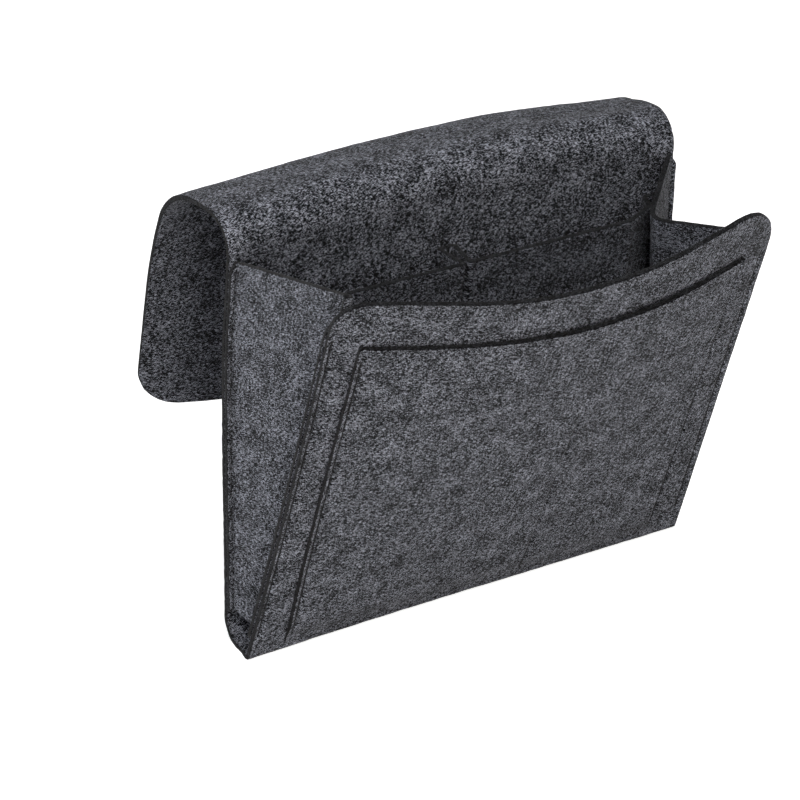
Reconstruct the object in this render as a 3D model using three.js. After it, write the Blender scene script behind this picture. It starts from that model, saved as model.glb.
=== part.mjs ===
// Bedside caddy: an organiser sewn from needle felt. One long sheet makes the floor, the back and the
// flap that tucks under a mattress; a front panel with a patch pocket opens forward on two side gussets,
// and two pleated pockets are sewn to the inside of the back.
// Millimetres, +Z up, front towards -Y. The origin is the middle of the back's rear face.
import * as THREE from "three";

// Felt and sewing
const FELT = 3; // thickness of every felt piece
const SEAM_GAP = 0.3; // between two layers that are sewn face to face
const THREAD_RADIUS = 0.45;
const THREAD_LIFT = 0.3; // thread above the felt it holds
const SEAM_INSET = 2.5; // stitch row inside a cut edge

// Long sheet: floor, back, top fold and flap
const WIDTH = 280;
const HEIGHT = 260; // floor to the crown of the top fold at mid width
const CROWN_RISE = 7; // how much higher the fold stands at mid width than at its ends
const CROWN_LEAD = 60; // length of back over which the crown builds up
const BASE_DEPTH = 26; // front crease to the back's rear face
const BASE_RADIUS = 14; // outside radius of the rear bottom bend
const EDGE_RADIUS = 18; // bend over the edge of the bed
const EDGE_TURN = 93; // degrees, as every turn here
const SADDLE_RADIUS = 165; // nearly flat top behind that bend
const SADDLE_TURN = 9;
const DROP_RADIUS = 46; // bend down into the flap
const DROP_TURN = 56;
const HANG_RADIUS = 290; // flap straightens out
const HANG_TURN = 11;
const FLAP_LENGTH = 78; // straight end of the flap
const FLAP_CORNER = 24; // radius of its lower corners
const FLAP_BOW = 20; // mid width of the flap hangs nearer to the back than its sides
const FLAP_SAG = 5; // and its lower edge a little lower
const FOLD_SLIT = 0.3; // between the parts of the sheet where it bends

// Front panel
const FRONT_DRAW = 2; // each side of the top edge is drawn in by the bow
const FRONT_SWAY = 3.4; // and the whole edge stands this far to the left
const FRONT_LEAN = 18; // degrees forward of upright
const FRONT_LENGTH = 268; // up the slope to the sharp corner
const FRONT_DIP = 12.5; // concave top edge
const FRONT_BOW = 22; // forward bulge of the top edge at mid width
const FRONT_CORNER = 20; // radius of its upper corners

// Patch pocket on the front panel
const PATCH_INSET = 19; // from the panel's sides
const PATCH_FOOT = 6; // up the slope to its lower edge
const PATCH_DROP = 29; // below the panel's top edge
const PATCH_MOUTH = 2; // slack at the middle of its mouth
const DIVIDER_X = 28.5; // stitched divider, right of the middle

// Side gussets: each is drawn in along a line at a share of the way from back to front, by a depth and a
// sink at the top, and its front end stops a drop below the front panel's sharp corner
const REAR_FLANGE = 4.5; // width sewn to the back
const FRONT_FLANGE = 8; // width sewn to the front
const FLANGE_TIP = 2; // width left of it above the front panel's corner
const GUSSET_LIFT = 5; // lower cut above the rear bottom bend
const GUSSET_DROP = 3; // upper end of the back seam below the bend over the bed's edge
const LEFT_GUSSET = { side: -1, foldAt: 0.5, foldDepth: 0, foldSink: 0, frontDrop: -2 };
const RIGHT_GUSSET = { side: 1, foldAt: 0.4, foldDepth: 32, foldSink: 14, frontDrop: 15 };

// Inner pockets, sewn to the back side by side. Outwards from its front wall, each end has a pleat that
// slants back by its spread and a hem; the outer hem ends at an inset from the side of the sheet
const POCKET_DEPTH = 21; // front wall off the back at the mouth
const POCKET_DROP = 25; // mouth below the bend over the bed's edge
const POCKET_LIFT = 26; // foot above the rear bottom bend
const POCKET_HEM = 10; // flat strip sewn along the foot
const POCKET_SPLIT_X = -17.5; // line where the two pockets meet
const POCKET_GAP = 1; // between their hems
const LEFT_POCKET = { outer: { inset: 15, hem: 7, spread: 6 }, inner: { hem: 6, spread: 3 } };
const RIGHT_POCKET = { outer: { inset: 18, hem: 12, spread: 13 }, inner: { hem: 6, spread: 3 } };

// Facets
const ARC_STEP = 11; // degrees along a bend
const SHEET_COLUMNS = 10;
const FRONT_COLUMNS = 20;
const FRONT_ROWS = 12;
const CORNER_COLUMNS = 4;
const GUSSET_LEVELS = [0, 0.25, 0.5, 0.75, 0.9, 0.95, 1];
const STATION_GAP = 1; // least length between two stations
const POCKET_LEVELS = 3;
const SEAM_STEPS = 6;

const COLOURS = { felt: 0x4a4b50, feltInside: 0x3f4044, thread: 0x26272a };

const rad = THREE.MathUtils.degToRad;
const lerp = THREE.MathUtils.lerp;
const ease = (t) => THREE.MathUtils.smoothstep(t, 0, 1);
const point = (x, y, z) => new THREE.Vector3(x, y, z);
const range = (count) => Array.from({ length: count }, (_, i) => i);
const spread = (from, to, steps) => range(steps + 1).map((i) => lerp(from, to, i / steps));

// Closed solid from vertices and triangles, turned so that its faces point out.
function closedSolid(vertices, triangles) {
  const volume = triangles.reduce(
    (sum, [a, b, c]) => sum + vertices[a].dot(vertices[b].clone().cross(vertices[c])),
    0,
  );
  const facing = volume < 0 ? triangles.map(([a, b, c]) => [a, c, b]) : triangles;
  const geometry = new THREE.BufferGeometry().setFromPoints(vertices);
  geometry.setIndex(facing.flat());
  geometry.computeVertexNormals();
  return geometry;
}

// Slab of felt between two faces given by place(column, row, side), side 0 and 1 being its two faces.
function slab(columns, rows, place) {
  const sheet = (side) => rows.flatMap((row) => columns.map((column) => place(column, row, side)));
  const vertices = [...sheet(0), ...sheet(1)];
  const across = columns.length;
  const face = across * rows.length;
  const triangles = [];
  const quad = (a, b, c, d) => triangles.push([a, b, c], [a, c, d]);
  for (const i of range(rows.length - 1)) {
    for (const j of range(across - 1)) {
      const k = i * across + j;
      quad(k, k + 1, k + across + 1, k + across);
      quad(face + k, face + k + across, face + k + across + 1, face + k + 1);
    }
  }
  const rim = [
    ...range(across),
    ...range(rows.length - 1).map((i) => (i + 2) * across - 1),
    ...range(across - 1).map((j) => face - 2 - j),
    ...range(rows.length - 2).map((i) => (rows.length - 2 - i) * across),
  ];
  rim.forEach((k, i) => {
    const next = rim[(i + 1) % rim.length];
    quad(k, face + k, face + next, next);
  });
  return closedSolid(vertices, triangles);
}

// Solid through a row of closed loops; plan gives a loop's outline in two dimensions for its caps.
function loft(rings, plan) {
  const clockwise = THREE.ShapeUtils.isClockWise(rings[0].map(plan));
  const loops = clockwise ? rings.map((ring) => ring.toReversed()) : rings;
  const size = loops[0].length;
  const triangles = [];
  for (const i of range(loops.length - 1)) {
    for (const j of range(size)) {
      const [a, b] = [i * size + j, i * size + ((j + 1) % size)];
      triangles.push([a, b, b + size], [a, b + size, a + size]);
    }
  }
  const last = (loops.length - 1) * size;
  const lower = THREE.ShapeUtils.triangulateShape(loops[0].map(plan), []);
  const upper = THREE.ShapeUtils.triangulateShape(loops.at(-1).map(plan), []);
  triangles.push(...lower.map(([a, b, c]) => [a, c, b]), ...upper.map((t) => t.map((k) => last + k)));
  return closedSolid(loops.flat(), triangles);
}

// Columns across a sheet, closer together where its corners are rounded.
function columnsAcross(width, corner, count) {
  const half = width / 2;
  const middle = spread(-half + corner, half - corner, count);
  if (!corner) return middle;
  const turn = (i) => (i * Math.PI) / 2 / CORNER_COLUMNS;
  const round = range(CORNER_COLUMNS).map((i) => half - corner * (1 - Math.cos(turn(i))));
  return [...round.map((x) => -x), ...middle, ...round.reverse()];
}

// How far a rounded corner of a sheet falls short of the sharp one at x.
function cornerLoss(x, width, corner) {
  const inset = Math.max(corner - (width / 2 - Math.abs(x)), 0);
  return corner - Math.sqrt(corner * corner - inset * inset);
}

// Long sheet: its side profile is walked along the pocket-side face from the front crease, as straight
// runs and arcs. Heading 0 runs back and 90 runs up, and a turn to the left is positive.
const lean = rad(FRONT_LEAN);
const floorFront = -FELT * Math.tan(lean);
const bendStart = HEIGHT - CROWN_RISE - EDGE_RADIUS;
const segments = [
  { run: BASE_DEPTH - BASE_RADIUS - floorFront },
  { radius: BASE_RADIUS - FELT, turn: 90 },
  { run: bendStart - BASE_RADIUS },
  { radius: EDGE_RADIUS, turn: -EDGE_TURN },
  { radius: SADDLE_RADIUS, turn: -SADDLE_TURN },
  { radius: DROP_RADIUS, turn: -DROP_TURN },
  { radius: HANG_RADIUS, turn: -HANG_TURN },
  { run: FLAP_LENGTH },
];

// Position and heading after going a length along one segment.
function advance({ y, z, heading }, { run, radius, turn }, length) {
  if (run) return { y: y + length * Math.cos(heading), z: z + length * Math.sin(heading), heading };
  const side = Math.sign(turn);
  const next = heading + (side * length) / radius;
  return {
    y: y + side * radius * (Math.sin(next) - Math.sin(heading)),
    z: z - side * radius * (Math.cos(next) - Math.cos(heading)),
    heading: next,
  };
}

let travelled = 0;
let pose = { y: floorFront, z: FELT, heading: 0 };
const legs = segments.map((segment) => {
  const length = segment.run ?? segment.radius * rad(Math.abs(segment.turn));
  const leg = { segment, start: travelled, length, pose };
  pose = advance(pose, segment, length);
  travelled += length;
  return leg;
});
const [, , , edgeLeg, , dropLeg] = legs;
const sheetEnd = travelled;
const edgeMiddle = edgeLeg.start + edgeLeg.length / 2;
const dropMiddle = dropLeg.start + dropLeg.length / 2;

function profileAt(s) {
  const leg = legs.findLast((candidate) => s >= candidate.start) ?? legs[0];
  return advance(leg.pose, leg.segment, s - leg.start);
}

// Stations along the profile: both ends, every joint of two segments and steps within the bends.
function stationsAlong(from, to) {
  const inside = legs.flatMap(({ segment, start, length }) => {
    const steps = segment.run ? 1 : Math.max(2, Math.ceil(Math.abs(segment.turn) / ARC_STEP));
    return spread(start, start + length, steps).slice(0, -1);
  });
  const lead = spread(edgeLeg.start - CROWN_LEAD, edgeLeg.start, 3).slice(0, -1);
  const stops = [...inside, ...lead].filter((s) => s > from + STATION_GAP && s < to - STATION_GAP);
  return [from, ...stops.sort((a, b) => a - b), to];
}

const midness = (x, width) => 1 - ((2 * x) / width) ** 2;

// A point of the long sheet, at a depth below its pocket-side face, with its crown and its bow.
function sheetPoint(x, s, depth) {
  const { y, z, heading } = profileAt(s);
  const risen = ease((s - edgeLeg.start + CROWN_LEAD) / CROWN_LEAD);
  const hung = ease((s - dropLeg.start) / (sheetEnd - dropLeg.start));
  const lift = risen * lerp(CROWN_RISE, -FLAP_SAG, hung);
  const bow = FLAP_BOW * hung;
  return point(
    x,
    y + depth * Math.sin(heading) - bow * midness(x, WIDTH),
    z - depth * Math.cos(heading) + lift * midness(x, WIDTH),
  );
}

// A stretch of the long sheet, its far end cut with rounded corners of the given radius.
function sheetPiece(from, to, corner = 0) {
  const cut = (x, s) => s - cornerLoss(x, WIDTH, corner) * ease((s - from) / (to - from));
  const place = (x, s, side) => sheetPoint(x, cut(x, s), side * FELT);
  return slab(columnsAcross(WIDTH, corner, SHEET_COLUMNS), stationsAlong(from, to), place);
}

// Front panel: a ruled sheet from the straight crease to the bowed top edge, which is drawn in.
const frontWidth = WIDTH - 2 * FRONT_DRAW;

function frontPoint(x, s, depth) {
  const up = s / FRONT_LENGTH;
  const out = FRONT_BOW * up * midness(x, frontWidth) - depth;
  return point(
    x * lerp(WIDTH / frontWidth, 1, up) - FRONT_SWAY * up,
    -s * Math.sin(lean) - out * Math.cos(lean),
    s * Math.cos(lean) - out * Math.sin(lean),
  );
}

const frontFoot = (FELT + SEAM_GAP) / Math.cos(lean);
const topEdge = (x) => FRONT_LENGTH - FRONT_DIP * midness(x, frontWidth) ** 2;

function frontPanel() {
  const columns = columnsAcross(frontWidth, FRONT_CORNER, FRONT_COLUMNS);
  const top = (x) => topEdge(x) - cornerLoss(x, frontWidth, FRONT_CORNER);
  const place = (x, t, side) => frontPoint(x, lerp(frontFoot, top(x), t), side * FELT);
  return slab(columns, spread(0, 1, FRONT_ROWS), place);
}

// Patch pocket: lies on the front panel, with a little slack at its mouth.
const patchWidth = frontWidth - 2 * PATCH_INSET;
const patchTop = (x) => topEdge(x) - PATCH_DROP;
const patchSlack = (x, t) => PATCH_MOUTH * midness(x, patchWidth) * t * t;

function patchPoint(x, s, height) {
  const t = (s - PATCH_FOOT) / (patchTop(x) - PATCH_FOOT);
  return frontPoint(x, s, -SEAM_GAP - height - patchSlack(x, t));
}

function frontPocket() {
  const half = patchWidth / 2;
  const place = (x, t, side) => patchPoint(x, lerp(PATCH_FOOT, patchTop(x), t), side * FELT);
  return slab(spread(-half, half, FRONT_COLUMNS), spread(0, 1, FRONT_ROWS), place);
}

// Gusset: a web between back and front, turned outwards into a flange along both seams. Its middle
// line is drawn into the caddy by fold at the top, where the gusset starts to close.
const backFace = BASE_DEPTH - FELT;
const gussetFoot = BASE_RADIUS + GUSSET_LIFT;
const gussetTop = bendStart - GUSSET_DROP;

// How far the front flange is cut back where the front panel's corner is round.
function flangeCut(s) {
  const above = Math.min(Math.max(s - FRONT_LENGTH + FRONT_CORNER, 0), FRONT_CORNER);
  const cut = FRONT_CORNER - Math.sqrt(FRONT_CORNER * FRONT_CORNER - above * above);
  return Math.min(cut, FRONT_FLANGE - FLANGE_TIP);
}

function gussetLoop({ side, foldAt, foldDepth, foldSink, frontDrop }, t) {
  const z = lerp(gussetFoot, gussetTop, t);
  const s = lerp(gussetFoot, FRONT_LENGTH - frontDrop, t);
  const rear = (inset, layer) => point(side * (WIDTH / 2 - inset), backFace - SEAM_GAP - layer * FELT, z);
  const front = (inset, layer) => {
    return frontPoint(side * (frontWidth / 2 - inset), s, FELT * (1 + layer) + SEAM_GAP);
  };
  const middle = rear(REAR_FLANGE + FELT / 2, 0.5);
  const run = middle.distanceTo(front(FRONT_FLANGE + FELT / 2, 0.5)) / 2;
  middle.lerp(front(FRONT_FLANGE + FELT / 2, 0.5), foldAt);
  const halfWall = (FELT / 2) * (Math.hypot(run, foldDepth * t) / run);
  const crease = (face) => {
    return middle.clone().add(point(-side * (foldDepth * t + face * halfWall), 0, -foldSink * t));
  };
  return [
    rear(0, 0),
    rear(REAR_FLANGE + FELT, 0),
    crease(1),
    front(FRONT_FLANGE + FELT, 0),
    front(flangeCut(s), 0),
    front(flangeCut(s), 1),
    front(FRONT_FLANGE, 1),
    crease(-1),
    rear(REAR_FLANGE, 1),
    rear(0, 1),
  ];
}

const planView = (p) => new THREE.Vector2(p.x, p.y);
const gusset = (shape) => loft(GUSSET_LEVELS.map((t) => gussetLoop(shape, t)), planView);

// Inner pocket: a strip pleated out from the back, flat along its sewn foot and open at its mouth.
// Across the back, its left and right ends each have a hem, a pleat and a corner of the front wall.
const pocketFoot = BASE_RADIUS + POCKET_LIFT;
const pocketMouth = bendStart - POCKET_DROP;
const sewnFace = backFace - SEAM_GAP;

function pocketEnds(side, { outer, inner }) {
  const ends = [
    { at: side * (WIDTH / 2 - outer.inset), inwards: -side, ...outer },
    { at: POCKET_SPLIT_X + (side * POCKET_GAP) / 2, inwards: side, ...inner },
  ];
  return side < 0 ? ends : ends.reverse();
}

function pocketLoop(ends, z) {
  const opened = Math.max(z - pocketFoot - POCKET_HEM, 0) / (pocketMouth - pocketFoot - POCKET_HEM);
  const out = POCKET_DEPTH * opened;
  const wall = FELT * opened; // the inside of a pleat turns a wall's thickness earlier
  const half = ({ at, inwards, hem, spread: slant }, layer) => {
    const turn = layer ? 0 : wall;
    const y = sewnFace - layer * FELT;
    return [
      point(at, y, z),
      point(at + inwards * (hem + turn), y, z),
      point(at + inwards * (hem + slant + turn), y - out, z),
    ];
  };
  const across = (layer) => [...half(ends[0], layer), ...half(ends[1], layer).reverse()];
  return [...across(0), ...across(1).reverse()];
}

function innerPocket(ends) {
  const levels = [pocketFoot, ...spread(pocketFoot + POCKET_HEM, pocketMouth, POCKET_LEVELS)];
  return loft(levels.map((z) => pocketLoop(ends, z)), planView);
}

// Seam thread: a fine six-sided strand along a route that lies just above the felt.
function seam(route) {
  const sides = range(6).map((i) => (i * Math.PI) / 3);
  const loops = route.map((p, i) => {
    const [before, after] = [route[Math.max(i - 1, 0)], route[Math.min(i + 1, route.length - 1)]];
    const along = after.clone().sub(before).normalize();
    const across = point(0, 1, 0).cross(along).normalize();
    const away = along.clone().cross(across);
    const stroke = (a) => across.clone().multiplyScalar(Math.cos(a)).addScaledVector(away, Math.sin(a));
    return sides.map((a) => p.clone().addScaledVector(stroke(a), THREAD_RADIUS));
  });
  return loft(loops, (_, i) => new THREE.Vector2(Math.cos(sides[i]), Math.sin(sides[i])));
}

const threadHeight = THREAD_LIFT + THREAD_RADIUS;

const backSeam = ({ side }) => {
  const x = side * (WIDTH / 2 - SEAM_INSET);
  const y = sewnFace - FELT - threadHeight;
  return seam([point(x, y, gussetFoot + SEAM_INSET), point(x, y, gussetTop - SEAM_INSET)]);
};

const frontSeam = ({ side, frontDrop }) => {
  const x = side * (frontWidth / 2 - SEAM_INSET);
  const end = FRONT_LENGTH - FRONT_CORNER - frontDrop;
  return seam([gussetFoot, end].map((s) => frontPoint(x, s, -threadHeight)));
};

// Stitching of the patch pocket, down one side, along the foot and up the other.
function patchSeam() {
  const x = patchWidth / 2 - SEAM_INSET;
  const low = PATCH_FOOT + SEAM_INSET;
  const up = spread(low, patchTop(x) - SEAM_INSET, SEAM_STEPS);
  const corner = SEAM_INSET;
  const route = [
    ...up.slice(1).reverse().map((s) => [-x, s]),
    [-x, low + corner],
    ...spread(-x + corner, x - corner, SEAM_STEPS).map((along) => [along, low]),
    [x, low + corner],
    ...up.slice(1).map((s) => [x, s]),
  ];
  return seam(route.map(([along, s]) => patchPoint(along, s, FELT + threadHeight)));
}

function dividerSeam() {
  const stations = spread(PATCH_FOOT + 2 * SEAM_INSET, patchTop(DIVIDER_X) - SEAM_INSET, SEAM_STEPS);
  return seam(stations.map((s) => patchPoint(DIVIDER_X, s, FELT + threadHeight)));
}

// Stitching of an inner pocket: down one hem, along the foot and up the other.
function pocketSeam(ends) {
  const y = sewnFace - FELT - threadHeight;
  const [left, right] = ends.map(({ at, inwards, hem }) => at + (inwards * hem) / 2);
  const low = pocketFoot + POCKET_HEM / 2;
  const corner = POCKET_HEM / 4;
  const top = pocketMouth - SEAM_INSET;
  const route = [
    [left, top],
    [left, low + corner],
    [left + corner, low],
    [right - corner, low],
    [right, low + corner],
    [right, top],
  ];
  return seam(route.map(([x, z]) => point(x, y, z)));
}

const finish = (color, roughness) => new THREE.MeshStandardMaterial({ color, roughness, metalness: 0 });
const felt = finish(COLOURS.felt, 0.95);
const feltInside = finish(COLOURS.feltInside, 0.97);
const thread = finish(COLOURS.thread, 0.7);

const caddy = new THREE.Group();
const add = (name, geometry, material) => {
  const mesh = new THREE.Mesh(geometry, material);
  mesh.name = name;
  caddy.add(mesh);
};

const leftPocket = pocketEnds(-1, LEFT_POCKET);
const rightPocket = pocketEnds(1, RIGHT_POCKET);

add("back_panel", sheetPiece(0, edgeMiddle - FOLD_SLIT / 2), felt);
add("top_fold", sheetPiece(edgeMiddle + FOLD_SLIT / 2, dropMiddle - FOLD_SLIT / 2), felt);
add("tuck_flap", sheetPiece(dropMiddle + FOLD_SLIT / 2, sheetEnd, FLAP_CORNER), felt);
add("front_panel", frontPanel(), felt);
add("front_pocket", frontPocket(), felt);
add("left_gusset", gusset(LEFT_GUSSET), felt);
add("right_gusset", gusset(RIGHT_GUSSET), felt);
add("left_inner_pocket", innerPocket(leftPocket), feltInside);
add("right_inner_pocket", innerPocket(rightPocket), feltInside);
add("left_back_seam", backSeam(LEFT_GUSSET), thread);
add("right_back_seam", backSeam(RIGHT_GUSSET), thread);
add("left_front_seam", frontSeam(LEFT_GUSSET), thread);
add("right_front_seam", frontSeam(RIGHT_GUSSET), thread);
add("front_pocket_seam", patchSeam(), thread);
add("front_pocket_divider_seam", dividerSeam(), thread);
add("left_inner_pocket_seam", pocketSeam(leftPocket), thread);
add("right_inner_pocket_seam", pocketSeam(rightPocket), thread);

caddy.position.set(0, -BASE_DEPTH, -lerp(BASE_RADIUS, bendStart, 0.5));

export default caddy;
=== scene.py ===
"""Bedside caddy sewn from grey needle felt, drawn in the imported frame. Lengths are in metres."""

import bpy
import numpy as np
from mathutils import Matrix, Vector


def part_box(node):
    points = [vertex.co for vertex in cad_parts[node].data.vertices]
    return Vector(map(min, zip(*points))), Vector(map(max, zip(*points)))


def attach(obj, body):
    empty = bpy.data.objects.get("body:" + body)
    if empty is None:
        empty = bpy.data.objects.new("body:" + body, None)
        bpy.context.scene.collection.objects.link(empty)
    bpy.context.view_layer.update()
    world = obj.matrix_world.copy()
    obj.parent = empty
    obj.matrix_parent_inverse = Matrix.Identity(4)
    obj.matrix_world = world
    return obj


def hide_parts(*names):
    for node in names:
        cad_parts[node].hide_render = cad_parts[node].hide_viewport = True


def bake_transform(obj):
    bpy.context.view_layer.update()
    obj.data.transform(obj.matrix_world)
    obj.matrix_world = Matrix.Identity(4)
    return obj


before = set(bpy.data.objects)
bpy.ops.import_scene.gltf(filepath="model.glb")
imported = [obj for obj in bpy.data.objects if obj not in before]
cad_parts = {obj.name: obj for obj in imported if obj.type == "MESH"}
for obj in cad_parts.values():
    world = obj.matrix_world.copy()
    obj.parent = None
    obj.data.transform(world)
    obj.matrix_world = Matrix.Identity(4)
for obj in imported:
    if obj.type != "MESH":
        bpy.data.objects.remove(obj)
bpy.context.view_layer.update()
mm = 0.001


# Floor, back and the near half of the fold over the edge of the bed: the lower part of one long sheet.
# Grey melange needle felt, about 3 mm thick, die cut with raw edges and bent round without a crease.
# It hangs against the side of the bed, and all the other pieces are sewn to it.
FELT = 3 * mm
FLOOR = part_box("back_panel")[0].z
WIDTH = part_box("back_panel")[1].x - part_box("back_panel")[0].x
# The crease at the foot of the front panel, and how far that panel leans forward from upright.
CREASE = -26 * mm
LEAN = np.radians(18)
# Spacing of the points of a sheet, and where it bends.
GRID, FINE_GRID = 2.2 * mm, 1.2 * mm


def ease(t):
    """Smooth step from 0 to 1."""
    t = np.clip(t, 0, 1)
    return t * t * (3 - 2 * t)


def unit(vectors):
    """The same directions, each of length 1."""
    return vectors / np.linalg.norm(vectors, axis=-1, keepdims=True)


def middle_of(x, width):
    """1 on the middle line of a piece and 0 at its two sides, along a parabola."""
    return 1 - (2 * x / width) ** 2


def stations(low, high, step, *fine):
    """Places from low to high about a step apart, closer together in each fine (from, to, step)."""
    places = np.linspace(low, high, int(round((high - low) / step)) + 1)
    for start, end, close in fine:
        keep = (places < start - close / 2) | (places > end + close / 2)
        places = np.append(places[keep], np.linspace(start, end, int(round((end - start) / close)) + 1))
    return np.sort(places)


def lumps(x, y, size, seed):
    """Value noise from -1 to 1: random heights on a grid of that size, eased between its corners."""
    heights = np.random.default_rng(seed).uniform(-1, 1, (98, 98))
    i, j = np.floor(x / size), np.floor(y / size)
    a, b = ease(x / size - i), ease(y / size - j)
    i, j = i.astype(int) % 97, j.astype(int) % 97
    near = heights[i, j] * (1 - a) + heights[i + 1, j] * a
    far = heights[i, j + 1] * (1 - a) + heights[i + 1, j + 1] * a
    return near * (1 - b) + far * b


def colour(code):
    """Linear colour of an sRGB hex code."""
    parts = np.array([int(code[i : i + 2], 16) / 255 for i in (1, 3, 5)])
    return (*np.where(parts <= 0.04045, parts / 12.92, ((parts + 0.055) / 1.055) ** 2.4), 1)


def blank_tree(owner):
    """Emptied node tree of a new material or world."""
    owner.use_nodes = True
    owner.node_tree.nodes.clear()
    return owner.node_tree


def add_node(tree, kind, sockets, **settings):
    """Adds a node and fills its sockets, each with a constant or with a link from another node's output."""
    node = tree.nodes.new(kind)
    for name, value in settings.items():
        setattr(node, name, value)
    for name, value in sockets.items():
        if isinstance(value, bpy.types.NodeSocket):
            tree.links.new(value, node.inputs[name])
        else:
            node.inputs[name].default_value = value
    return node


def put_in_scene(name, data):
    """New object with that mesh, lamp or camera, at the origin."""
    thing = bpy.data.objects.new(name, data)
    bpy.context.collection.objects.link(thing)
    return thing


def needle_felt(name, shades, rise):
    """Felt of short fibres that lie in every direction: noise stretched along five directions, the palest
    of three added to the darkest of two, clouded over 13 mm and less, then coloured from dark to pale.
    Real fibres are about a tenth as wide, so tufts of them are drawn, as coarse as they need to show."""
    tuft_length, tuft_width = 2.6 * mm, 0.37 * mm
    curl_size, curl_sway = 4 * mm, 0.8 * mm
    cloud_size, cloud_share = 13 * mm, 0.5
    darkest, palest = 1.19, 1.51
    material = bpy.data.materials.new(name)
    tree = blank_tree(material)
    flat = add_node(tree, "ShaderNodeUVMap", {}, uv_map="flat").outputs["UV"]
    curl = add_node(tree, "ShaderNodeTexNoise", {"Vector": flat, "Scale": 1 / curl_size, "Detail": 1})
    swayed = add_node(
        tree, "ShaderNodeVectorMath",
        {0: curl.outputs["Color"], 1: (curl_sway,) * 3, 2: flat}, operation="MULTIPLY_ADD",
    ).outputs[0]
    strands = []
    for turn in (4, 38, 160, 18, 118):
        lie = add_node(
            tree, "ShaderNodeMapping",
            {"Vector": swayed, "Rotation": (0, 0, np.radians(turn)), "Scale": (tuft_length, tuft_width, 1)},
            vector_type="TEXTURE",
        )
        noise = add_node(
            tree, "ShaderNodeTexNoise", {"Vector": lie.outputs[0], "Scale": 1, "Detail": 0},
            noise_dimensions="2D",
        )
        strands.append(noise.outputs["Fac"])
    pale = add_node(tree, "ShaderNodeMath", {0: strands[0], 1: strands[1]}, operation="MAXIMUM")
    pale = add_node(tree, "ShaderNodeMath", {0: pale.outputs[0], 1: strands[2]}, operation="MAXIMUM")
    dark = add_node(tree, "ShaderNodeMath", {0: strands[3], 1: strands[4]}, operation="MINIMUM")
    matted = add_node(tree, "ShaderNodeMath", {0: pale.outputs[0], 1: dark.outputs[0]}, operation="ADD")
    clouds = add_node(
        tree, "ShaderNodeTexNoise",
        {"Vector": flat, "Scale": 1 / cloud_size, "Detail": 3, "Roughness": 0.7},
    )
    shade = add_node(
        tree, "ShaderNodeMath",
        {0: clouds.outputs["Fac"], 1: cloud_share, 2: matted.outputs[0]}, operation="MULTIPLY_ADD",
    )
    spread = add_node(
        tree, "ShaderNodeMapRange",
        {"Value": shade.outputs[0], "From Min": darkest, "From Max": palest},
    )
    ramp = add_node(tree, "ShaderNodeValToRGB", {"Fac": spread.outputs[0]})
    ramp.color_ramp.elements[0].color = colour(shades[0])
    ramp.color_ramp.elements[1].color = colour(shades[2])
    ramp.color_ramp.elements.new(0.5).color = colour(shades[1])
    bump = add_node(
        tree, "ShaderNodeBump", {"Height": matted.outputs[0], "Strength": 0.4, "Distance": rise}
    )
    surface = add_node(
        tree, "ShaderNodeBsdfPrincipled",
        {
            "Base Color": ramp.outputs["Color"], "Roughness": 0.95, "Specular IOR Level": 0.1,
            "Sheen Weight": 0.08, "Sheen Roughness": 0.5, "Normal": bump.outputs[0],
        },
    )
    add_node(tree, "ShaderNodeOutputMaterial", {"Surface": surface.outputs[0]})
    return material


# Face: the fibres are dyed before they are mixed, some near black and some pale grey.
felt_face = needle_felt("melange needle felt, face", ("#08080a", "#15161a", "#9da0ab"), 0.5 * mm)
# Cut edge: the ends of the fibres stand out of it, so it is a little darker. The rest of its darkness is
# painted shade, for the shade in the gaps and recesses along the sewn edges.
edge_felt_with_painted_shade = needle_felt("melange needle felt, cut edge with painted shade", ("#020203", "#0b0b0d", "#333437"), 0.7 * mm)


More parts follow.
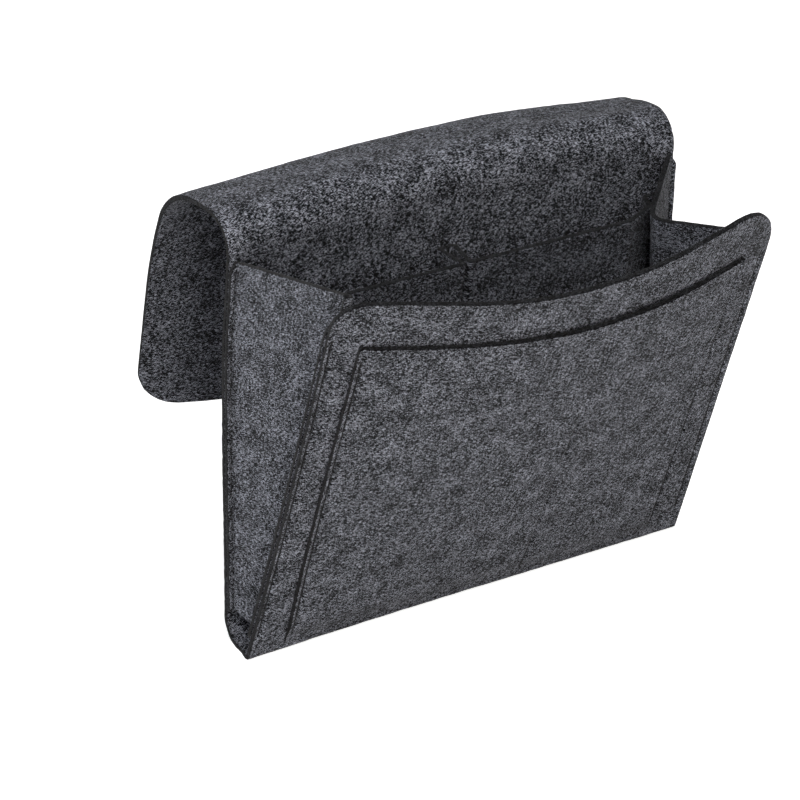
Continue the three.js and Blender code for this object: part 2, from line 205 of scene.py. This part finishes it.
def felt_sheet(name, middle, flat, joined=(), sewn=0):
    """Closed sheet of felt about the surface middle[row, column]. Its UVs are flat, the places in the felt
    that it is cut from, and each piece is cut from another stretch of it.
    Both faces lie half the thickness off the middle along its normal, with low lumps, and the rim between
    them has rounded corners. A joined first or last row (0 or -1) has a plain cap, where it meets another.
    Both faces are drawn in by sewn, a depth at each place, where a row of stitches pulls them together."""
    half, corner, fray = FELT / 2, 0.35 * mm, 0.18 * mm
    rows, columns = middle.shape[:2]
    normal = unit(np.cross(np.gradient(middle, axis=1), np.gradient(middle, axis=0)))
    ids = np.arange(rows * columns).reshape(rows, columns)
    border = np.concatenate([ids[0, :-1], ids[:-1, -1], ids[-1, :0:-1], ids[:0:-1, 0]])
    edge, up = middle.reshape(-1, 3)[border], normal.reshape(-1, 3)[border]
    inward = unit(np.cross(up, np.roll(edge, -1, 0) - np.roll(edge, 1, 0)))
    capped = np.isin(border, np.concatenate([ids[end] for end in joined]) if joined else [])
    inward[capped] = 0
    for end in joined:
        for side in (0, -1):
            beside = ids[1 if end == 0 else -2, side]
            inward[border == ids[end, side]] = inward[border == beside]
    step = np.linalg.norm(np.roll(edge, -1, 0) - edge, axis=1)
    around = np.concatenate([[0], np.cumsum(step)])
    thin = 1 - np.broadcast_to(sewn, (rows, columns)).reshape(-1, 1)[border] / half
    ragged = fray * lumps(around[:-1], 0 * around[:-1], 2.5 * mm, 5)[:, None]

    points = []
    u, v = np.moveaxis(flat, -1, 0)
    for face, seed in ((1, 1), (-1, 2)):
        relief = 0.1 * mm * lumps(u, v, 4 * mm, seed) + 0.14 * mm * lumps(u, v, 11 * mm, seed + 2)
        sheet = (middle + normal * face * (half + relief - sewn)[..., None]).reshape(-1, 3)
        sheet[border] += inward * corner
        points.append(sheet)
    turns = np.radians([30, 60, 90, 90, 60, 30])
    heights = (half - corner * (1 - np.cos(turns))) * (1, 1, 1, -1, -1, -1)
    for turn, height in zip(turns, heights):
        points.insert(-1, edge + inward * (corner * (1 - np.sin(turn)) + ragged) + up * thin * height)

    count, first = len(border), rows * columns
    far = first + len(turns) * count
    face = np.stack([ids[:-1, :-1], ids[:-1, 1:], ids[1:, 1:], ids[1:, :-1]], -1).reshape(-1, 4)
    rings = [border, *(first + k * count + np.arange(count) for k in range(len(turns))), far + border]
    rim = np.concatenate([
        np.stack([upper, lower, np.roll(lower, -1), np.roll(upper, -1)], -1)
        for upper, lower in zip(rings, rings[1:])
    ])
    quads = np.concatenate([face, far + face[:, ::-1], rim])

    # The second face and the rim take their pattern from other places than the first face.
    level = np.concatenate([[half], heights, [-half]])
    rim_u = np.stack([around[:-1], around[:-1], around[1:], around[1:]], -1)
    rim_uv = np.concatenate([
        np.stack(np.broadcast_arrays(rim_u, [a, b, b, a]), -1) for a, b in zip(level, level[1:])
    ])
    laid = flat.reshape(-1, 2)
    uv = np.concatenate([laid[face], laid[face[:, ::-1]] + (0.7, 0.4), rim_uv + (0.3, 0.9)])
    smooth = np.ones(len(quads), bool)
    smooth[2 * len(face):] = np.tile(~(capped & np.roll(capped, -1)), len(rings) - 1)
    # The rim's middle rings take the cut-edge felt, whose darkness is partly painted shade.
    cut_edge = np.repeat([0, 1, 1, 1, 1, 1, 0], count)

    mesh = bpy.data.meshes.new(name)
    mesh.from_pydata(np.concatenate(points), [], quads)
    mesh.uv_layers.new(name="flat").data.foreach_set("uv", uv.ravel())
    mesh.polygons.foreach_set("material_index", np.concatenate([np.zeros(2 * len(face), int), cut_edge]))
    mesh.polygons.foreach_set("use_smooth", smooth)
    mesh.materials.append(felt_face)
    mesh.materials.append(edge_felt_with_painted_shade)
    return put_in_scene(name, mesh)


def bend(radius, turn):
    """Length of an arc of the sheet's side view, and its turn in degrees."""
    return radius * np.radians(abs(turn)), turn


# The sheet's side view: (length, turn in degrees) of each run and bend along its pocket side, from the
# front crease back along the floor, up the back, over the edge of the bed and down the flap.
FOOT_BEND = 11 * mm
FLOOR_RUN = -CREASE - FELT - FOOT_BEND + FELT * np.tan(LEAN)
RUNS = np.array([
    (FLOOR_RUN, 0), bend(FOOT_BEND, 90), (221 * mm, 0), bend(18 * mm, -93),
    bend(165 * mm, -9), bend(46 * mm, -56), bend(290 * mm, -11), (75 * mm, 0),
])
ends = np.concatenate([[0], np.cumsum(RUNS[:, 0])])
EDGE_START, EDGE_END, DROP_START, DROP_END, SHEET_END = ends[[3, 4, 5, 6, 8]]
pace = 0.2 * mm
walked = np.arange(0, SHEET_END + 2 * pace, pace)
heading = np.interp(walked, ends, np.radians(np.concatenate([[0], np.cumsum(RUNS[:, 1])])))
walked_y = CREASE - FELT * np.tan(LEAN) + np.cumsum(np.cos(heading)) * pace - pace
walked_z = FLOOR + FELT + np.cumsum(np.sin(heading)) * pace


def side_bulge(x, height):
    """How far the sheet's left edge is moved out at a height: 2.6 mm at two thirds of the pocket's height,
    less towards the foot and nothing at the top, and fading fast away from the edge."""
    tall = ease((235 * mm - height) / (60 * mm)) * (0.3 + 0.7 * ease(height / (150 * mm)))
    return -2.6 * mm * tall * np.clip(-2 * x / WIDTH, 0, 1) ** 4


def long_sheet(x, s, depth):
    """Place on the long sheet: the point at s of its side view, moved by depth off the pocket side.
    Mid width stands 7 mm higher over the bed's edge, and at the flap's end 5 mm lower and 20 mm nearer to
    the back. The top's right end sags by 3 mm, less in the corner by the bed's edge, and its left end is
    1 mm higher. The left edge bulges beside the pocket, and by 1.2 mm down the flap."""
    turned, y, z = (np.interp(s, walked, values) for values in (heading, walked_y, walked_z))
    top_rise, flap_fall, flap_inward = 7 * mm, 12 * mm, 20 * mm
    right_sag, corner_lift, left_rise = 3 * mm, 2.4 * mm, 1 * mm
    crown = middle_of(x, WIDTH)
    risen = ease((s - EDGE_START) / (60 * mm) + 1)
    hung = ease((s - DROP_START) / (SHEET_END - DROP_START))
    topped = ease((s - EDGE_END) / (16 * mm) + 0.4)
    in_corner = (1 - ease((s - EDGE_END - 6 * mm) / (18 * mm))) * ease((x - 118 * mm) / (14 * mm))
    sag = right_sag * ease((x - 40 * mm) / (90 * mm)) - corner_lift * in_corner
    sag = sag - left_rise * ease((-x - 95 * mm) / (40 * mm))
    flap_side = 1.2 * mm * hung**0.3 * ease((-x / WIDTH - 0.2) / 0.3)
    return np.stack([
        x + side_bulge(x, z - FLOOR) * (s < EDGE_START) - flap_side,
        y + depth * np.sin(turned) - flap_inward * hung * crown,
        z - depth * np.cos(turned) + risen * (top_rise - flap_fall * hung) * crown - sag * topped,
    ], -1)


# It meets the front panel's foot under the floor, and the rest of the long sheet in the middle of the top.
FLOOR_JOIN = FLOOR_RUN - 3 * mm
TOP_JOIN = (EDGE_END + DROP_START) / 2
across, along = np.meshgrid(
    stations(-WIDTH / 2, WIDTH / 2, GRID),
    stations(FLOOR_JOIN, TOP_JOIN, GRID, (ends[1], ends[2], FINE_GRID), (EDGE_START, EDGE_END, FINE_GRID)),
)
back = felt_sheet(
    "back_sheet", long_sheet(across, along, FELT / 2), np.stack([across, along], -1), joined=(0, -1)
)
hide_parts("back_panel")
fold = long_sheet(0, (EDGE_START + EDGE_END) / 2, FELT / 2)
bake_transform(back)


# Top and tuck flap: the rest of the same long sheet, nearly flat over the bed's edge and then hanging.
# Its lower corners are cut round. In use the flap lies under the mattress, whose weight holds the caddy.
FLAP_CORNER = 24 * mm


def round_off(x, width, left, right):
    """How far the round corners, of those radii, fall short of sharp ones at x."""
    corner = np.where(x < 0, left, right)
    short = np.clip(corner - (width / 2 - np.abs(x)), 0, corner)
    return corner - np.sqrt(corner**2 - short**2)


def round_stations(width, left, right):
    """Columns across a piece, evenly spaced round its corners' arcs."""
    arc = 1 - np.cos(np.linspace(0, np.pi / 2, 25)[:-1])
    inner = stations(left - width / 2, width / 2 - right, GRID)
    return np.concatenate([left * arc - width / 2, inner, width / 2 - right * arc[::-1]])


across, along = np.meshgrid(
    round_stations(WIDTH, FLAP_CORNER, FLAP_CORNER), stations(TOP_JOIN, SHEET_END, GRID)
)
lower = ease((along - DROP_END) / (SHEET_END - DROP_END))
cut = along - round_off(across, WIDTH, FLAP_CORNER, FLAP_CORNER) * lower
flap = felt_sheet(
    "top_and_flap", long_sheet(across, cut, FELT / 2), np.stack([across, cut], -1), joined=(0,)
)
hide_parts("top_fold", "tuck_flap")
fold = long_sheet(0, (DROP_START + DROP_END) / 2, FELT / 2)
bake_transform(flap)


# Front panel: a separate sheet of the same felt, sewn to the gussets along both sides.
# It turns up from the floor in a tight crease, leans forward, bows, and has rounded upper corners.
FRONT_WIDTH = WIDTH - 6 * mm
FRONT_LENGTH = 268 * mm
FRONT_BOW = 22 * mm
LEFT_CORNER, RIGHT_CORNER = 18 * mm, 34 * mm
# Its side seams: how far in from the edge each lies, and how far below the top its groove ends.
LEFT_SEAM, RIGHT_SEAM = 2.3 * mm, 4.4 * mm
LEFT_SEAM_END, RIGHT_SEAM_END = 22 * mm, 42 * mm
CREASE_ARC = 5 * mm

front_pace = 0.1 * mm
front_walk = np.arange(-14 * mm, 280 * mm, front_pace)
front_heading = np.pi - (np.pi / 2 - LEAN) * np.clip(front_walk / CREASE_ARC + 0.5, 0, 1)
front_y = np.cumsum(np.cos(front_heading)) * front_pace
front_z = np.cumsum(np.sin(front_heading)) * front_pace
top_of_walk = np.argmin(np.abs(front_walk - FRONT_LENGTH))
front_z += FLOOR - front_z[0]
front_y += CREASE - (front_z[top_of_walk] - FLOOR) * np.tan(LEAN) - front_y[top_of_walk]


def front_sheet(x, s, depth):
    """Place on the front panel: the point at s of its side view, from the floor up the slope, moved by
    depth in from its outer side. Its top edge bows forward by 22 mm at the middle, and its foot is 3 %
    wider than its top. Its left edge is drawn in by 2 mm halfway up, and the left end of its foot stands
    1.5 mm out and 2.5 mm forward."""
    turned, y, z = (np.interp(s, front_walk, values) for values in (front_heading, front_y, front_z))
    up = np.clip(s / FRONT_LENGTH, 0, 1.05)
    left = np.clip(-2 * x / FRONT_WIDTH, 0, 1)
    inside = depth - FRONT_BOW * up * middle_of(x, FRONT_WIDTH)
    foot = left**2 * (1 - up) ** 3
    drawn = 1 - 1.5 * up + 7 * up * (1 - up) * left**8
    stands_out = (0.75 + 0.75 * ease(s / (6 * mm) + 1.3)) * foot
    return np.stack([
        x * (1.03 * (1 - up) + up) + (drawn - stands_out) * mm,
        y + inside * np.sin(turned) - 2.5 * mm * foot * ease(s / (9 * mm) + 1),
        z - inside * np.cos(turned),
    ], -1)


def front_top(x):
    """The panel's top edge dips by 14 mm towards the middle, and its right end is 4 mm lower."""
    return FRONT_LENGTH - 14 * mm * middle_of(x, FRONT_WIDTH) ** 3 - 4.2 * mm * ease(x / (70 * mm))


def groove(distance):
    """Depth of the groove that a row of stitches draws into the felt: a bell curve of the distance from
    the row, 1.2 mm deep and about 2 mm wide."""
    return 1.2 * mm * np.exp(-((distance / (0.8 * mm)) ** 2))


FRONT_START = front_walk[np.argmin(np.abs(front_y - (CREASE - FELT * np.tan(LEAN) + FLOOR_JOIN)))]
across, along = np.meshgrid(
    round_stations(FRONT_WIDTH, LEFT_CORNER, RIGHT_CORNER),
    stations(FRONT_START, FRONT_LENGTH, GRID, (FRONT_START, 4 * mm, 0.6 * mm)),
)
short = FRONT_LENGTH - front_top(across) + round_off(across, FRONT_WIDTH, LEFT_CORNER, RIGHT_CORNER)
cut = along - short * np.clip((along - 120 * mm) / (FRONT_LENGTH - 120 * mm), 0, 1) ** 1.5
seam = FRONT_WIDTH / 2 - np.where(across < 0, LEFT_SEAM, RIGHT_SEAM)
seam_end = FRONT_LENGTH - np.where(across < 0, LEFT_SEAM_END, RIGHT_SEAM_END)
sewn = groove(seam - np.abs(across)) * ease((cut - 12 * mm) / (8 * mm)) * ease((seam_end - cut) / (5 * mm))
front = felt_sheet(
    "front_sheet", front_sheet(across, cut, FELT / 2), np.stack([across + 0.35, cut], -1), (0,), sewn
)
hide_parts("front_panel")
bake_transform(front)


# Patch pocket: a rectangle of the same felt, sewn on the front panel down its sides and along its foot.
# A row of stitches divides it in two, and its mouth stands a little off the panel.
PATCH_WIDTH = FRONT_WIDTH - 36 * mm
PATCH_FOOT = 6 * mm
DIVIDER = 28.5 * mm
GAP = 0.3 * mm
# How far in from its edge a row of stitches runs.
INSET = 2.5 * mm
SEAM_GRID = 0.6 * mm


def patch_top(x):
    """The patch's upper edge dips by 10 mm, deepest a little right of the middle, and falls to the right."""
    return FRONT_LENGTH - 32.2 * mm - 10.2 * mm * middle_of(x - 12 * mm, FRONT_WIDTH) ** 2 - 0.026 * x


def patch_sheet(x, s, height):
    """Place on the patch, that height above its inner side: it follows the front panel, and its mouth
    stands 1.3 mm further off it right of the middle. Its left edge leans out towards the top by up to
    4.4 mm, and its right edge lies 3 mm further in."""
    t = np.clip((s - PATCH_FOOT) / (patch_top(x) - PATCH_FOOT), 0, 1)
    share = x / PATCH_WIDTH + 0.5
    slack = 1.3 * mm * ease((share - 0.2) / 0.6) * ease((1 - share) / 0.3)
    left, right = np.clip(1 - 2 * share, 0, 1), np.clip(2 * share - 1, 0, 1)
    shifted = (4.4 * (1 - t) ** 3 - 2.2) * left - 3 * right**2
    return front_sheet(x + shifted * mm, s, -GAP - height - slack * t * t)


def pressed(s):
    """How far each face of the patch is pressed in at its foot, where it is sewn flat."""
    return 1.3 * mm * (1 - ease((s - PATCH_FOOT) / (18 * mm)))


edge_x = PATCH_WIDTH / 2
across, share = np.meshgrid(
    stations(
        -edge_x, edge_x, GRID, (-edge_x, 5 * mm - edge_x, SEAM_GRID), (edge_x - 5 * mm, edge_x, SEAM_GRID),
        (DIVIDER - 3 * mm, DIVIDER + 3 * mm, SEAM_GRID),
    ),
    stations(0, 1, 0.01, (0, 0.02, 0.0025)),
)
along = PATCH_FOOT + share * (patch_top(across) - PATCH_FOOT)
sewn = np.maximum(groove(edge_x - INSET - np.abs(across)), 0.6 * groove(across - DIVIDER))
sewn = np.maximum(np.maximum(sewn, groove(along - PATCH_FOOT - INSET)), pressed(along))
patch = felt_sheet(
    "patch_pocket", patch_sheet(across, along, FELT / 2 - pressed(along)),
    np.stack([across + 0.9, along + 0.2], -1), sewn=sewn,
)
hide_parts("front_pocket")
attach(patch, "front")


# Side gussets: a felt web on each side with a flange turned out along both edges and sewn down flat.
# The left one is pulled tight and the right one has begun to crease inwards along its middle.
REAR_FLANGE, FRONT_FLANGE = 3 * mm, 8 * mm
BACK_FACE = -FELT
SEWN_ON = BACK_FACE - GAP - FELT / 2
GUSSET_FOOT, GUSSET_TOP = 19 * mm, 232 * mm


def pleated(corners, trims, counts):
    """Rows of points along strips that turn at each inner corner: straight runs of so many steps, and at
    a corner a parabola that begins and ends a trim away from it. corners[corner, row] are places."""
    runs, last = [], corners[0]
    for before, corner, after, trim, count in zip(corners, corners[1:], corners[2:], trims, counts):
        start = corner + unit(before - corner) * trim
        end = corner + unit(after - corner) * trim
        t = np.linspace(0, 1, count + 1)[:-1, None, None]
        runs.append(last + (start - last) * t)
        t = np.linspace(0, 1, 7)[:-1, None, None]
        runs.append((1 - t) ** 2 * start + 2 * t * (1 - t) * corner + t * t * end)
        last = end
    t = np.linspace(0, 1, counts[-1] + 1)[:, None, None]
    runs.append(last + (corners[-1] - last) * t)
    return np.concatenate(runs).swapaxes(0, 1)


def laid_flat(middle):
    """Flat places of a pleated strip: the way along each row from its middle, and the mean height."""
    way = np.cumsum(np.linalg.norm(np.diff(middle, axis=1, prepend=middle[:, :1]), axis=-1), axis=1)
    rise = np.linalg.norm(np.diff(middle, axis=0, prepend=middle[:1]), axis=-1).mean(axis=1).cumsum()
    return np.stack([way - way[:, -1:] / 2, np.broadcast_to(rise[:, None], way.shape)], -1)


# At the top the fold goes in and sinks by so much, at a share of the web's width from the back. The front
# flange ends a drop below the panel's top, with its upper end trimmed round by a corner's radius.
for side, name, fold, sink, fold_at, drop, corner in (
    (-1, "left_gusset", 0, 0, 0.5, -2 * mm, 30 * mm),
    (1, "right_gusset", 34 * mm, 12 * mm, 0.4, 30 * mm, 40 * mm),
):
    level = np.linspace(0, 1, 105)
    rear_z = FLOOR + GUSSET_FOOT + (GUSSET_TOP - GUSSET_FOOT) * level
    front_foot = GUSSET_FOOT - 5 * mm
    front_s = front_foot + (FRONT_LENGTH - drop - front_foot) * level
    tapered = REAR_FLANGE * ease((rear_z - FLOOR - GUSSET_TOP) / (6 * mm) + 1)
    trimmed = round_off(np.minimum(front_s, FRONT_LENGTH), 2 * FRONT_LENGTH, corner, corner)
    corners = []
    for inset in (tapered, REAR_FLANGE + FELT / 2):
        rear_x = side * (WIDTH / 2 - inset) + side_bulge(side * WIDTH / 2, rear_z - FLOOR)
        corners.append(np.stack([0 * level + rear_x, 0 * level + SEWN_ON, rear_z], -1))
    for inset, off in ((FRONT_FLANGE + FELT / 2, 0), (np.minimum(trimmed, FRONT_FLANGE - 2 * mm), 0.5 * mm)):
        front_x = 0 * level + side * (FRONT_WIDTH / 2 - inset)
        corners.append(front_sheet(front_x, front_s, 1.5 * FELT + GAP + off))
    drawn_in = np.stack([side * fold * level, 0 * level, sink * level], -1)
    crease = corners[1] + (corners[2] - corners[1]) * fold_at - drawn_in
    corners.insert(2, crease)
    # The flanges turn sharply, and the fold is soft where the web is wide enough for it.
    soft = np.minimum(np.linalg.norm(corners[1] - crease, axis=-1, keepdims=True) * 0.4, 9 * mm)
    middle = pleated(corners, (1.6 * mm, soft, 2.6 * mm), (6, 18, 18, 5))
    wide = laid_flat(middle)
    sewn = 0.5 * groove(wide[..., 0] - wide[:, :1, 0] - INSET)
    gusset = felt_sheet(name + "_felt", middle, wide + (0.5 * side, 1.3), sewn=sewn)
    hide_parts(name)
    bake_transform(gusset)


# Inner pockets: two strips of the same felt sewn side by side to the inside of the back.
# Each has a hem at both ends and along its foot, and pleats that let its front wall stand off the back.
POCKET_FOOT, POCKET_HEM, POCKET_MOUTH, POCKET_DEPTH = 40 * mm, 10 * mm, 210 * mm, 21 * mm
POCKET_BEND = 1.2 * mm

# Each strip turns at places across the back, in mm, and stands off it there by a share of the depth.
for name, pattern, turns_at, stands in (
    ("left_inner_pocket", (0.4, 1.9), (-125, -118, -112, -10, -12.6, -8.6), (0, 0, 1, 1, 0, 0)),
    ("right_inner_pocket", (0.4, 2.4), (-7.1, -3.1, -5.7, 97, 117, 121, 129), (0, 0, 1, 1, 0.5, 0, 0)),
):
    height = stations(POCKET_FOOT, POCKET_MOUTH, 2 * mm)
    opened = np.clip((height - POCKET_FOOT - POCKET_HEM) / (POCKET_MOUTH - POCKET_FOOT - POCKET_HEM), 0, 1)
    corners = [
        np.stack([0 * height + x * mm, SEWN_ON - out * POCKET_DEPTH * opened, FLOOR + height], -1)
        for x, out in zip(turns_at, stands)
    ]
    middle = pleated(corners, (POCKET_BEND,) * 5, (5, 8, 40, 8, 8, 5)[: len(turns_at) - 1])
    wide = laid_flat(middle)
    pocket = felt_sheet(name + "_felt", middle, wide + pattern)
    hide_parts(name)
    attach(pocket, "back")


# Stitch rows: a lockstitch of dark polyester thread, one every 3.2 mm, along every sewn edge.
# Each visible stitch is a short length of thread that dips into the felt at both ends.
STITCH_PITCH, STITCH_LENGTH, THREAD_RADIUS = 3.2 * mm, 2.8 * mm, 0.4 * mm
# How deep in its groove a row lies below the face of the felt.
SUNK, DIVIDER_SUNK = 0.6 * mm, 0.8 * mm
FRONT_OUT = (0, -np.cos(LEAN), -np.sin(LEAN))
BACK_OUT = (0, -1, 0)

# Thread: twisted fibre with a low sheen, too thin for its twist to show.
thread = bpy.data.materials.new("spun polyester thread, dark grey")
tree = blank_tree(thread)
surface = add_node(tree, "ShaderNodeBsdfPrincipled", {"Base Color": colour("#0d0d0f"), "Roughness": 0.7})
add_node(tree, "ShaderNodeOutputMaterial", {"Surface": surface.outputs[0]})


def stitch_row(name, route, facing, body):
    """A row of stitches along route, on the side that facing points to. Each is a bow of thread whose
    middle stands 0.2 mm above the route and whose ends dip 0.5 mm below it, swept as a six-sided tube."""
    way = np.concatenate([[0], np.cumsum(np.linalg.norm(np.diff(route, axis=0), axis=1))])
    bow = np.linspace(-1, 1, 5)
    at = np.arange(STITCH_PITCH / 2, way[-1], STITCH_PITCH)[:, None] + bow * STITCH_LENGTH / 2
    spot = np.stack([np.interp(at, way, route[:, k]) for k in range(3)], -1)
    outward = np.broadcast_to(np.array(facing, float), spot.shape)
    sideways = np.cross(unit(np.gradient(spot, axis=1)), outward)
    spot = spot + outward * ((0.2 - 0.7 * bow**2) * mm)[None, :, None]
    turn = np.linspace(0, 2 * np.pi, 7)[:-1]
    ring = spot[:, :, None] + THREAD_RADIUS * (
        np.cos(turn)[:, None] * sideways[:, :, None] + np.sin(turn)[:, None] * outward[:, :, None]
    )
    ids = np.arange(ring[..., 0].size).reshape(ring.shape[:3])
    near, far = ids[:, :-1], ids[:, 1:]
    wall = np.stack([near, np.roll(near, -1, 2), np.roll(far, -1, 2), far], -1).reshape(-1, 4)
    caps = np.concatenate([ids[:, 0, ::-1], ids[:, -1]])
    mesh = bpy.data.meshes.new(name)
    mesh.from_pydata(ring.reshape(-1, 3), [], [*wall.tolist(), *caps.tolist()])
    mesh.polygons.foreach_set("use_smooth", np.arange(len(mesh.polygons)) < len(wall))
    mesh.materials.append(thread)
    row = put_in_scene(name + "_stitches", mesh)
    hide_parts(name)
    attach(row, body)


def three_sides(left, right, low, high):
    """Flat places along a row that goes down the left side, along the foot and up the right side."""
    up = np.linspace(low, high, 200)
    return np.concatenate([
        np.stack([0 * up + left, up[::-1]], -1),
        np.stack([np.linspace(left, right, 200), 0 * up + low], -1),
        np.stack([0 * up + right, up], -1),
    ])


for side, name, seam, seam_end in (
    (-1, "left", LEFT_SEAM, LEFT_SEAM_END), (1, "right", RIGHT_SEAM, RIGHT_SEAM_END)
):
    z = np.linspace(FLOOR + GUSSET_FOOT + INSET, FLOOR + GUSSET_TOP - INSET, 200)
    x = side * (WIDTH / 2 - INSET) + side_bulge(side * WIDTH / 2, z - FLOOR)
    route = np.stack([x, 0 * z + BACK_FACE - GAP - FELT + SUNK, z], -1)
    stitch_row(f"{name}_back_seam", route, BACK_OUT, "back")
    s = np.linspace(GUSSET_FOOT, FRONT_LENGTH - seam_end - 2 * mm, 200)
    route = front_sheet(0 * s + side * (FRONT_WIDTH / 2 - seam), s, SUNK)
    stitch_row(f"{name}_front_seam", route, FRONT_OUT, "front")

seam_x = PATCH_WIDTH / 2 - INSET
flat_x, flat_s = three_sides(-seam_x, seam_x, PATCH_FOOT + INSET, patch_top(seam_x) - INSET).T
route = patch_sheet(flat_x, flat_s, FELT - 2 * pressed(flat_s) - SUNK)
stitch_row("front_pocket_seam", route, FRONT_OUT, "front")
up = np.linspace(PATCH_FOOT + 2 * INSET, patch_top(DIVIDER) - INSET, 200)
route = patch_sheet(0 * up + DIVIDER, up, FELT - DIVIDER_SUNK)
stitch_row("front_pocket_divider_seam", route, FRONT_OUT, "front")

for name, left, right in (
    ("left_inner_pocket_seam", -121.5 * mm, -10.4 * mm), ("right_inner_pocket_seam", -5.3 * mm, 125 * mm)
):
    flat_x, flat_z = three_sides(left, right, POCKET_FOOT + POCKET_HEM / 2, POCKET_MOUTH - INSET).T
    route = np.stack([flat_x, 0 * flat_x + BACK_FACE - GAP - FELT, FLOOR + flat_z], -1)
    stitch_row(name, route, BACK_OUT, "back")


# Stage: a white studio floor under soft light, and the view of the photograph.
# Broad lamps stand in front, at the left, high in front and overhead.
LAMP_WIDTH, LAMP_HEIGHT = 1.1, 0.9
ground = bpy.data.meshes.new("floor")
ground.from_pydata([(-3, -3, FLOOR), (3, -3, FLOOR), (3, 3, FLOOR), (-3, 3, FLOOR)], [], [(0, 1, 2, 3)])
floor = put_in_scene("floor", ground)
# Paper: matt white, brightened for the camera alone so that it reads as white and keeps the shadow.
paper = bpy.data.materials.new("white seamless paper")
tree = blank_tree(paper)
seen = add_node(tree, "ShaderNodeLightPath", {}).outputs["Is Camera Ray"]
matt = add_node(tree, "ShaderNodeBsdfDiffuse", {"Color": colour("#f2f2f2")})
bright = add_node(tree, "ShaderNodeEmission", {"Color": colour("#ffffff"), "Strength": 0.75})
lit = add_node(tree, "ShaderNodeAddShader", {0: matt.outputs[0], 1: bright.outputs[0]})
mix = add_node(tree, "ShaderNodeMixShader", {0: seen, 1: matt.outputs[0], 2: lit.outputs[0]})
add_node(tree, "ShaderNodeOutputMaterial", {"Surface": mix.outputs[0]})
ground.materials.append(paper)

world = bpy.data.worlds.new("white studio")
tree = blank_tree(world)
seen = add_node(tree, "ShaderNodeLightPath", {}).outputs["Is Camera Ray"]
glow = add_node(tree, "ShaderNodeMapRange", {"Value": seen, "To Min": 0.02, "To Max": 1.0}).outputs[0]
sky = add_node(tree, "ShaderNodeBackground", {"Color": colour("#fdfdff"), "Strength": glow})
add_node(tree, "ShaderNodeOutputWorld", {"Surface": sky.outputs[0]})
bpy.context.scene.world = world


def turned_to(place, target, roll):
    """Matrix of a lamp or camera at place that looks at target, turned by roll about its view."""
    back = unit(np.array(place) - np.array(target))
    right = unit(np.cross((0, 0, 1), back))
    up = np.cross(back, right)
    rolled_right = right * np.cos(roll) + up * np.sin(roll)
    rolled_up = up * np.cos(roll) - right * np.sin(roll)
    turned = np.stack([rolled_right, rolled_up, back, place], 1)
    return Matrix(np.vstack([turned, (0, 0, 0, 1)]).tolist())


for name, place, power, tint in (
    ("front lamp", (-0.45, -1.92, 0.36), 12.6, "#fffaf4"),
    ("left lamp", (-1.61, 0.43, 0.67), 15.5, "#fbfcff"),
    ("high lamp", (-0.4, -1.2, 1.53), 22, "#fffdfa"),
    ("top lamp", (0, -0.2, 2.0), 14, "#fdfdff"),
):
    lamp = bpy.data.lights.new(name, "AREA")
    lamp.shape = "RECTANGLE"
    lamp.size, lamp.size_y = LAMP_WIDTH, LAMP_HEIGHT
    lamp.energy = power
    lamp.color = colour(tint)[:3]
    put_in_scene(name, lamp).matrix_world = turned_to(place, (0, 0, 0), 0)

lens = bpy.data.cameras.new("photograph")
lens.lens, lens.sensor_width, lens.clip_start = 162.34, 36, 0.1
camera = put_in_scene("photograph", lens)
camera.matrix_world = turned_to((-0.9377, -1.4593, 0.9664), (-0.04764, -0.026, 0.01217), np.radians(1.64))
bpy.context.scene.camera = camera
bpy.context.scene.view_settings.view_transform = "Standard"
